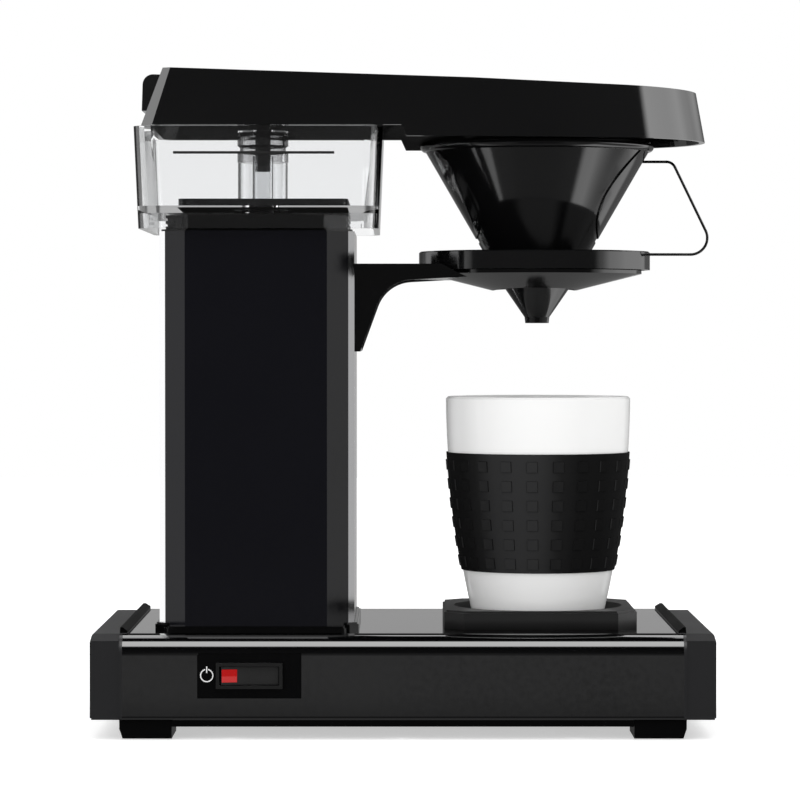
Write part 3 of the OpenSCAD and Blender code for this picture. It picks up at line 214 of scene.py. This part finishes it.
def clear(name, colour):
    """Clear moulded plastic, with a faint unevenness in its polish."""
    unevenness = 0.02
    material = bpy.data.materials.new(name)
    t = Tree(material)
    shader = t.add(
        "ShaderNodeBsdfPrincipled",
        Base_Color=rgba(colour),
        Roughness=t.spread(t.noise(t.where(), scale=60.0, detail=2.0), high=unevenness),
        IOR=1.49,
        Transmission_Weight=1.0,
    )
    t.finish(shader.outputs["BSDF"])
    return material


def lens(name):
    """Red lens, darker above its middle than below it."""
    below, above = (0.5, 0.03, 0.03), (0.42, 0.0006, 0.0006)
    edge = 0.4 * MM
    low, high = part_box("switch_lens")
    middle = (low.z + high.z) / 2
    material = bpy.data.materials.new(name)
    t = Tree(material)
    where = t.where()
    z = t.add("ShaderNodeSeparateXYZ", Vector=where).outputs["Z"]
    shader = t.add(
        "ShaderNodeBsdfPrincipled",
        Base_Color=t.mix_colours(t.spread(z, middle - edge, middle), rgba(below), rgba(above)),
        Roughness=t.spread(t.noise(where, scale=500.0, detail=2.0), low=0.14, high=0.22),
    )
    t.finish(shader.outputs["BSDF"])
    return material


def painted_shade_by(material, value_of, table):
    """Paint shade into a material: darken its colour and gloss by a table of (value, how light).

    value_of(tree) adds the nodes that give the value, and returns their output."""
    t = Tree(material, start_empty=False)
    shader = t.find("BSDF_PRINCIPLED")
    light = t.ramp(value_of(t), table)
    for name in ("Base Color", "Specular IOR Level"):
        socket = shader.inputs[name]
        own = socket.links[0].from_socket if socket.is_linked else grey(socket.default_value)
        t.feed(socket, t.mix_colours(1.0, own, light, "MULTIPLY"))
    return material


def height(t):
    """Height above the table."""
    return t.add("ShaderNodeSeparateXYZ", Vector=t.find("TEX_COORD").outputs["Object"]).outputs["Z"]


def facing(direction):
    """How squarely the surface faces a direction: 1 straight at it, -1 straight away."""

    def value_of(t):
        turned = t.add("ShaderNodeVectorMath", {"operation": "DOT_PRODUCT"})
        t.feed(turned.inputs[0], t.add("ShaderNodeNewGeometry").outputs["Normal"])
        t.feed(turned.inputs[1], direction)
        return turned.outputs["Value"]

    return value_of


# painted shade by height, in colour and gloss: dark at the end caps' feet and lips, and at the ring's
# foot where it meets the base
BASE_LOW, BASE_TOP = (corner.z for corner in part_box("base_housing"))
ALL_ABOVE = 60 * MM  # higher than any of these pieces
CAP_PAINTED_SHADE = [
    (0.0, 0.15),
    (BASE_LOW, 0.15),
    (BASE_LOW + 0.6 * MM, 1.0),
    (BASE_TOP + 0.1 * MM, 1.0),
    (BASE_TOP + 0.4 * MM, 0.03),
    (ALL_ABOVE, 0.03),
]
RING_PAINTED_SHADE = [
    (BASE_TOP, 0.3),
    (BASE_TOP + 2.7 * MM, 0.6),
    (BASE_TOP + 4.7 * MM, 1.0),
    (ALL_ABOVE, 1.0),
]
# painted light and shade on the sleeve, by how squarely it faces the front left: lightest facing it,
# darker turned away
LEFT_FRONT = (-0.276, -0.961, 0)
SLEEVE_PAINTED_LIGHT = [(-1.0, 0.4), (0.5, 0.25), (0.75, 0.27), (0.87, 0.42), (0.96, 0.9), (1.0, 1.0)]
# painted reflection on the column, by how squarely it faces the front right, as its right front
# chamfers do: these are darkened as if reflecting something dark
RIGHT_CHAMFER = (0.7071, -0.7071, 0)
PANEL_PAINTED_REFLECTION = [(-1.0, 1.0), (0.94, 1.0), (0.97, 0.45), (1.0, 0.45)]
SHELL_PAINTED_REFLECTION = [(-1.0, 1.0), (0.94, 1.0), (0.97, 0.14), (1.0, 0.14)]


def moulding(name, colour, rough, microns, gloss):
    """Dark moulded plastic with a fine grain, so many microns deep."""
    return surface(
        name, colour, rough, grain=2600, grain_depth=microns * MICRON, Specular_IOR_Level=gloss
    )


MATERIALS = {
    "base_metal": surface(
        "gloss_enamel",
        (0.0015, 0.0015, 0.0017),
        0.05,
        grain=350,
        grain_depth=0.6 * MICRON,
        Specular_IOR_Level=1.0,
    ),
    "trim_plastic": moulding(
        "satin_moulding", (0.014, 0.014, 0.015), rough=0.36, microns=10, gloss=0.35
    ),
    "switch_plastic": moulding(
        "switch_moulding", (0.002, 0.002, 0.0022), rough=0.24, microns=4, gloss=0.12
    ),
    "lens_red": lens("red_lens"),
    "pale_plastic": surface(
        "pale_moulding", (0.75, 0.75, 0.7), 0.45, grain=2000, grain_depth=6 * MICRON, tint=0.04
    ),
    "soft_rubber": surface(
        "soft_rubber", (0.02, 0.02, 0.02), 0.62, grain=2400, grain_depth=15 * MICRON
    ),
    "bright_steel": surface(
        "zinc_steel", (0.55, 0.55, 0.56), 0.3, 1.0, grain=1200, grain_depth=4 * MICRON
    ),
    "polished_shell": surface(
        "polished_aluminium",
        (0.86, 0.86, 0.87),
        0.1,
        1.0,
        grain=500,
        grain_depth=0.6 * MICRON,
        stretch=(6, 6, 0.2),
        tint=0.03,
    ),
    "panel_gloss": surface(
        "column_lacquer",
        (0.0042, 0.0042, 0.006),
        0.12,
        grain=300,
        grain_depth=0.8 * MICRON,
        Specular_IOR_Level=0.2,
    ),
    "boiler_metal": surface(
        "drawn_tube", (0.6, 0.42, 0.33), 0.32, 1.0, grain=900, grain_depth=4 * MICRON
    ),
    "hose_silicone": surface(
        "hose_silicone", (0.62, 0.62, 0.58), 0.4, grain=1500, grain_depth=5 * MICRON, tint=0.05
    ),
    "tank_clear": clear("clear_tank", (0.97, 0.975, 0.98)),
    "tube_clear": clear("clear_tube", (0.95, 0.955, 0.96)),
    "tube_dark": surface(
        "dark_tube",
        (0.002, 0.002, 0.002),
        0.2,
        grain=900,
        grain_depth=2 * MICRON,
        Specular_IOR_Level=0.15,
    ),
    "socket_smoke": clear("smoky_socket", (0.7, 0.7, 0.705)),
    "cover_plastic": moulding(
        "cover_moulding", (0.0045, 0.0045, 0.0047), rough=0.09, microns=3, gloss=0.7
    ),
    "bracket_plastic": moulding(
        "bracket_moulding", (0.001, 0.001, 0.0011), rough=0.1, microns=2, gloss=0.4
    ),
    "basket_gloss": surface(
        "basket_moulding",
        (0.003, 0.003, 0.0032),
        0.1,
        grain=600,
        grain_depth=1.5 * MICRON,
        Specular_IOR_Level=0.45,
    ),
    "wire_black": surface(
        "coated_wire", (0.003, 0.003, 0.003), 0.3, grain=1500, grain_depth=0.5 * MICRON
    ),
    "ring_plastic": moulding(
        "textured_ring", (0.017, 0.017, 0.017), rough=0.45, microns=20, gloss=0.3
    ),
    "mug_glaze": surface(
        "white_glaze",
        (0.885, 0.885, 0.88),
        0.1,
        grain=250,
        grain_depth=1 * MICRON,
        tint=0.01,
        Specular_IOR_Level=0.12,
    ),
    "sleeve_silicone": surface(
        "sleeve_silicone",
        (0.028, 0.028, 0.0285),
        0.6,
        grain=2200,
        grain_depth=12 * MICRON,
        Specular_IOR_Level=0.02,
    ),
}

for part in frame["record"]["subparts"]:
    shown = nodes[part["node"]].data
    shown.materials.clear()
    shown.materials.append(MATERIALS[part["material_slot"]])

# nodes whose look differs from the rest of their slot
rocker_look = moulding(
    "rocker_moulding", (0.02, 0.02, 0.02), rough=0.3, microns=6, gloss=0.3
)
frame_look = moulding(
    "frame_moulding", (0.012, 0.012, 0.012), rough=0.3, microns=6, gloss=0.2
)
black_gloss = surface(
    "black_gloss",
    (0.0012, 0.0012, 0.0013),
    0.15,
    grain=900,
    grain_depth=2 * MICRON,
    Specular_IOR_Level=0.15,
)
cap_look = moulding(
    "cap_moulding", (0.016, 0.016, 0.017), rough=0.36, microns=10, gloss=0.3
)
OWN_LOOKS = {
    "rocker_switch": rocker_look,
    "switch_body": frame_look,
    "base_plate": black_gloss,
    "column_collar": black_gloss,
    "column_top_cap": black_gloss,
    "left_end_cap": cap_look,
    "right_end_cap": cap_look,
}
for node, look in OWN_LOOKS.items():
    nodes[node].data.materials[0] = look

# painted shade, painted light and painted reflections in these looks' colour and gloss
painted_shade_by(cap_look, height, CAP_PAINTED_SHADE)
painted_shade_by(MATERIALS["ring_plastic"], height, RING_PAINTED_SHADE)
painted_shade_by(MATERIALS["sleeve_silicone"], facing(LEFT_FRONT), SLEEVE_PAINTED_LIGHT)
painted_shade_by(MATERIALS["panel_gloss"], facing(RIGHT_CHAMFER), PANEL_PAINTED_REFLECTION)
painted_shade_by(MATERIALS["polished_shell"], facing(RIGHT_CHAMFER), SHELL_PAINTED_REFLECTION)


# ---- stand-ins for CAD nodes with curved walls ----
SHARP = math.radians(24)  # edges that turn more than this stay sharp
SAME_POINT = 0.01 * MM
FLAT_FIRST = 90  # how far a weighted normal follows the larger faces, 50 being not at all


def smooth_copy(node):
    """Stand-in for a CAD node whose curved walls are shaded smoothly across their facets."""
    data = nodes[node].data.copy()
    mesh = bmesh.new()
    mesh.from_mesh(data)
    bmesh.ops.remove_doubles(mesh, verts=mesh.verts, dist=SAME_POINT)
    for face in mesh.faces:
        face.smooth = True
    for edge in mesh.edges:
        edge.smooth = len(edge.link_faces) == 2 and edge.calc_face_angle(0) < SHARP
    mesh.to_mesh(data)
    mesh.free()
    made = link(node + "_smooth", data)
    weigh = made.modifiers.new("weigh", "WEIGHTED_NORMAL")
    weigh.keep_sharp = True
    weigh.weight = FLAT_FIRST
    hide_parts(node)
    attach(made, BODY_OF[node])
    return made


smooth_copy("arm_cover")
smooth_copy("water_tank")


# ---- pieces that the frame leaves to the scene ----
def link_mesh(name, mesh, material):
    """Make an object of a finished bmesh."""
    data = bpy.data.meshes.new(name)
    mesh.to_mesh(data)
    mesh.free()
    made = link(name, data)
    data.materials.append(material)
    return made


def piece(name, mesh, body, slot_name=None, material=None):
    """Link a finished bmesh as a piece that rides on a body, in a slot's look or its own."""
    made = link_mesh(name, mesh, material or MATERIALS[slot_name])
    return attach(made, body)


def add_block(mesh, corners_low, corners_high):
    """A closed block between two rings of four corners."""
    low = [mesh.verts.new(v) for v in corners_low]
    high = [mesh.verts.new(v) for v in corners_high]
    mesh.faces.new(low[::-1])
    mesh.faces.new(high)
    for i in range(len(low)):
        j = (i + 1) % len(low)
        mesh.faces.new((low[i], low[j], high[j], high[i]))


def outline_radius(node):
    """A revolved node's radius as a function of height, from its mesh, and the middle of its box."""
    low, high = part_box(node)
    axis = (low + high) / 2
    widest = {}
    for v in nodes[node].data.vertices:
        level = round(v.co.z, 4)
        widest[level] = max(widest.get(level, 0), math.hypot(v.co.x - axis.x, v.co.y - axis.y))
    levels = sorted(widest)

    def radius(z):
        below = max(level for level in levels if level <= z)
        above = min(level for level in levels if level > z)
        return widest[below] + (widest[above] - widest[below]) * (z - below) / (above - below)

    return radius, axis


def sleeve_squares():
    """Rows of raised squares round the mug's sleeve, each one a closed block with sloping edges."""
    rows, columns = 6, 22
    pitch = 9.2 * MM
    square = 5.3 * MM
    proud = 0.45 * MM
    sunk = 0.5 * MM
    slope = 0.2 * MM
    lowest = 4.35 * MM  # from the sleeve's lower edge to the middle of the first row
    first_angle = math.radians(-5.8)
    corners = ((-1, -1), (1, -1), (1, 1), (-1, 1))
    radius, axis = outline_radius("mug_sleeve")
    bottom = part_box("mug_sleeve")[0].z

    mesh = bmesh.new()
    for row in range(rows):
        z = bottom + lowest + row * pitch
        r = radius(z)
        lean = (radius(z + square / 2) - radius(z - square / 2)) / square
        for column in range(columns):
            angle = first_angle + column * 2 * math.pi / columns
            out = Vector((math.sin(angle), -math.cos(angle), 0))
            side = Vector((math.cos(angle), math.sin(angle), 0))
            up = Vector((0, 0, 1)) + out * lean
            mid = Vector((axis.x, axis.y, z)) + out * r

            def ring(half, depth):
                return [mid + out * depth + side * sx * half + up * sz * half for sx, sz in corners]

            add_block(mesh, ring(square / 2, -sunk), ring(square / 2 - slope, proud))
    return mesh


def power_symbol():
    """A broken ring with a bar at its top, thin and flat on the switch plate."""
    from_left, from_bottom = 6.3 * MM, 12.5 * MM  # the ring's middle, from the plate's edges
    thick = 0.06 * MM
    radius, half_stroke = 2.85 * MM, 0.25 * MM
    half_gap, steps = math.radians(14), 40
    bar_low, bar_high = 1.2 * MM, 4.2 * MM
    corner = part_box("switch_plate")[0]
    centre = Vector((corner.x + from_left, corner.y, corner.z + from_bottom))
    mesh = bmesh.new()

    def at(x, z, depth):
        return centre + Vector((x, -depth, z))

    inner, outer = radius - half_stroke, radius + half_stroke
    section = ((inner, 0), (outer, 0), (outer, thick), (inner, thick))
    rings = []
    for i in range(steps + 1):
        a = half_gap + (2 * math.pi - 2 * half_gap) * i / steps
        points = [at(r * math.sin(a), r * math.cos(a), depth) for r, depth in section]
        rings.append([mesh.verts.new(point) for point in points])
    for a, b in zip(rings, rings[1:]):
        for i in range(4):
            j = (i + 1) % 4
            mesh.faces.new((a[i], a[j], b[j], b[i]))
    mesh.faces.new(rings[0])
    mesh.faces.new(rings[-1][::-1])
    flat = [(-half_stroke, bar_low), (half_stroke, bar_low)]
    flat += [(half_stroke, bar_high), (-half_stroke, bar_high)]
    add_block(mesh, [at(x, z, 0) for x, z in flat], [at(x, z, thick) for x, z in flat])
    bmesh.ops.recalc_face_normals(mesh, faces=mesh.faces)
    return mesh


def level_line():
    """The printed fill line across the tank's front wall."""
    below_rim = 12.5 * MM
    from_left, from_right = 18.9 * MM, 22.5 * MM
    half = 0.6 * MM
    thick = 0.05 * MM
    off_wall = 0.02 * MM
    leans_out = 2.0 * MM  # over the tank's height
    low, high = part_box("water_tank")
    lean = leans_out / (high.z - low.z)
    z = high.z - below_rim
    y = low.y + below_rim * lean - off_wall
    x0, x1 = low.x + from_left, high.x - from_right
    mesh = bmesh.new()
    flat = [(x0, z - half), (x1, z - half), (x1, z + half), (x0, z + half)]
    add_block(
        mesh,
        [(x, y + (z - h) * lean, h) for x, h in flat],
        [(x, y - thick + (z - h) * lean, h) for x, h in flat],
    )
    bmesh.ops.recalc_face_normals(mesh, faces=mesh.faces)
    return mesh


piece("sleeve_squares", sleeve_squares(), "mug", "sleeve_silicone")
white_print = surface(
    "white_print", (0.8, 0.8, 0.8), 0.5, grain=3000, grain_depth=3 * MICRON, tint=0.03
)
piece("power_symbol", power_symbol(), "stand", None, white_print)
black_print = surface("black_print", (0.01, 0.01, 0.01), 0.5, grain=3000, grain_depth=3 * MICRON)
piece("level_line", level_line(), "stand", None, black_print)


# ---- floor ----
FLOOR_HALF = 3.0
FLOOR_LIFT = 0.5  # glow that the camera alone sees, which makes the shadow soft


def floor():
    """Pale paper under the object: it takes shadows, and reflections look past it to the studio."""
    material = bpy.data.materials.new("floor_paper")
    t = Tree(material)
    shade = t.spread(t.noise(t.where(), scale=30.0, detail=3.0), low=0.78, high=0.82)
    paper = t.add("ShaderNodeBsdfDiffuse", Color=shade)
    path = t.add("ShaderNodeLightPath")
    lift = t.math("MULTIPLY", path.outputs["Is Camera Ray"], FLOOR_LIFT)
    glow = t.add("ShaderNodeEmission", Color=grey(1.0), Strength=lift)
    both = t.add("ShaderNodeAddShader")
    t.feed(both.inputs[0], paper.outputs["BSDF"])
    t.feed(both.inputs[1], glow.outputs["Emission"])
    shown = t.add("ShaderNodeMixShader", Fac=path.outputs["Is Glossy Ray"])
    t.feed(shown.inputs[1], both.outputs[0])
    t.feed(shown.inputs[2], t.add("ShaderNodeBsdfTransparent").outputs[0])
    t.finish(shown.outputs[0])

    mesh = bmesh.new()
    bmesh.ops.create_grid(mesh, x_segments=1, y_segments=1, size=FLOOR_HALF)
    link_mesh("floor", mesh, material)


# ---- the studio that shiny surfaces see ----
# near the horizon: azimuth in degrees from the front towards the right, and brightness
AROUND = [
    (-180, 0.45), (-172, 0.45), (-168, 0.10), (-125, 0.15),  # grey wall behind, then dark
    (-112, 0.70), (-97, 1.00), (-68, 2.20),  # softbox on the left, brightest towards the front
    (-66, 0.30), (0, 0.30), (60, 0.28),  # dim front
    (67, 3.00), (100, 3.00), (125, 1.60), (138, 1.10),  # softbox on the right, fading to the back
    (143, 0.30), (167, 0.10), (171, 0.45), (180, 0.45),  # dark, then the grey wall
]
# above and below it, along the middle: degrees from the front horizon over the top, and brightness
OVER = [
    (-180, 0.20), (-130, 0.20), (-60, 0.25), (-30, 0.06), (0, 0.05),  # the table side
    (43, 0.00), (49, 5.50), (75, 5.50), (80, 0.00),  # softbox high in front
    (101, 0.00), (105, 3.00), (131, 3.00), (135, 0.05),  # softbox high behind
    (172, 0.05), (180, 0.45),  # down to the grey wall
]
# above it, at the sides: azimuth in degrees, and brightness
SIDES = [
    (-180, 0.45), (-160, 0.80), (-145, 2.60), (-100, 2.60), (-64, 2.20), (-60, 0.06),
    (57, 0.06), (63, 4.00), (90, 3.10), (106, 2.80), (118, 1.70), (130, 1.10), (180, 0.45),
]

# parts of a direction, of length 1, between which one list gives way to another
FRONT_DIMS = (-0.079, -0.072)  # upward part: above this the front gets darker,
FRONT_HALF = (0.20, 0.36)  # where the forward part is beyond this,
FRONT_DIMMED = 0.6  # by this share
ABOVE = (0.10, 0.16)  # upward part: SIDES and OVER take over from AROUND
BELOW = (-0.100, -0.115)  # upward part: OVER takes over from AROUND
BESIDE = (0.30, 0.45)  # sideways part: OVER gives way to the other two again
LOW_SIDE = (-0.115, -0.130)  # upward part: an even grey takes over,
FAR_SIDE = (0.70, 0.80)  # where the sideways part is beyond this
SIDE_GREY = 0.5
AMBIENT = 1.0  # brightness that matt surfaces see


def by_angle(t, angle, table):
    """Brightness from a table of (degrees, brightness)."""
    peak = max(value for degrees, value in table)
    return t.math("MULTIPLY", t.ramp(angle, table, unit=math.radians(1), peak=peak), peak)


def studio_reflection(t):
    """Brightness of the studio in each direction: walls and softboxes round, above and below."""
    axes = t.add("ShaderNodeSeparateXYZ", Vector=t.add("ShaderNodeTexCoord").outputs["Generated"])
    right, up = axes.outputs["X"], axes.outputs["Z"]
    forward = t.math("MULTIPLY", axes.outputs["Y"], -1.0)
    sideways = t.math("ABSOLUTE", right)
    azimuth = t.math("ARCTAN2", right, forward)

    in_front = t.math("MULTIPLY", t.spread(up, *FRONT_DIMS), t.spread(forward, *FRONT_HALF))
    kept = t.math("SUBTRACT", 1.0, t.math("MULTIPLY", in_front, FRONT_DIMMED))
    around = t.math("MULTIPLY", by_angle(t, azimuth, AROUND), kept)

    above = t.spread(up, *ABOVE)
    level = t.mix_values(above, around, by_angle(t, azimuth, SIDES))
    low_side = t.math("MULTIPLY", t.spread(up, *LOW_SIDE), t.spread(sideways, *FAR_SIDE))
    level = t.mix_values(low_side, level, SIDE_GREY)

    off_horizon = t.math("MAXIMUM", above, t.spread(up, *BELOW))
    along_middle = t.math("SUBTRACT", 1.0, t.spread(sideways, *BESIDE))
    over = by_angle(t, t.math("ARCTAN2", up, forward), OVER)
    return t.mix_values(t.math("MULTIPLY", off_horizon, along_middle), level, over)


def studio_world():
    """White behind the object and through clear pieces, even light, and softboxes in reflections."""
    world = bpy.data.worlds.new("studio")
    world.cycles.sampling_method = "NONE"  # so that every ray's own kind decides what it sees
    bpy.context.scene.world = world
    t = Tree(world)
    path = t.add("ShaderNodeLightPath")

    def has_had(bounce):
        """1 where the ray has had at least one bounce of a kind."""
        return t.math("GREATER_THAN", path.outputs[bounce + " Depth"], 0.5)

    seen = t.mix_values(has_had("Glossy"), 1.0, studio_reflection(t))
    strength = t.mix_values(has_had("Diffuse"), seen, AMBIENT)
    background = t.add("ShaderNodeBackground", Color=grey(1.0), Strength=strength)
    t.add("ShaderNodeOutputWorld", Surface=background.outputs[0])


# ---- lamps ----
LAMPS_AIM_AT = Vector((0, 0, 0.16))  # about the middle of the object


def lamp(name, azimuth, elevation, distance, size, power):
    """A square softbox that faces the object, with its azimuth from the front towards the right."""
    data = bpy.data.lights.new(name, "AREA")
    data.shape = "SQUARE"
    data.size = size
    data.energy = power
    made = link(name, data)
    made.visible_camera = False
    made.visible_glossy = False
    made.visible_transmission = False
    a, e = math.radians(azimuth), math.radians(elevation)
    away = Vector((math.sin(a) * math.cos(e), -math.cos(a) * math.cos(e), math.sin(e)))
    made.location = LAMPS_AIM_AT + away * distance
    made.rotation_euler = (-away).to_track_quat("-Z", "Y").to_euler()


floor()
studio_world()
lamp("top_softbox", azimuth=10, elevation=60, distance=1.8, size=1.4, power=5)
lamp("left_fill", azimuth=-35, elevation=1, distance=2.0, size=1.0, power=10)

bpy.context.scene.view_settings.view_transform = "Standard"
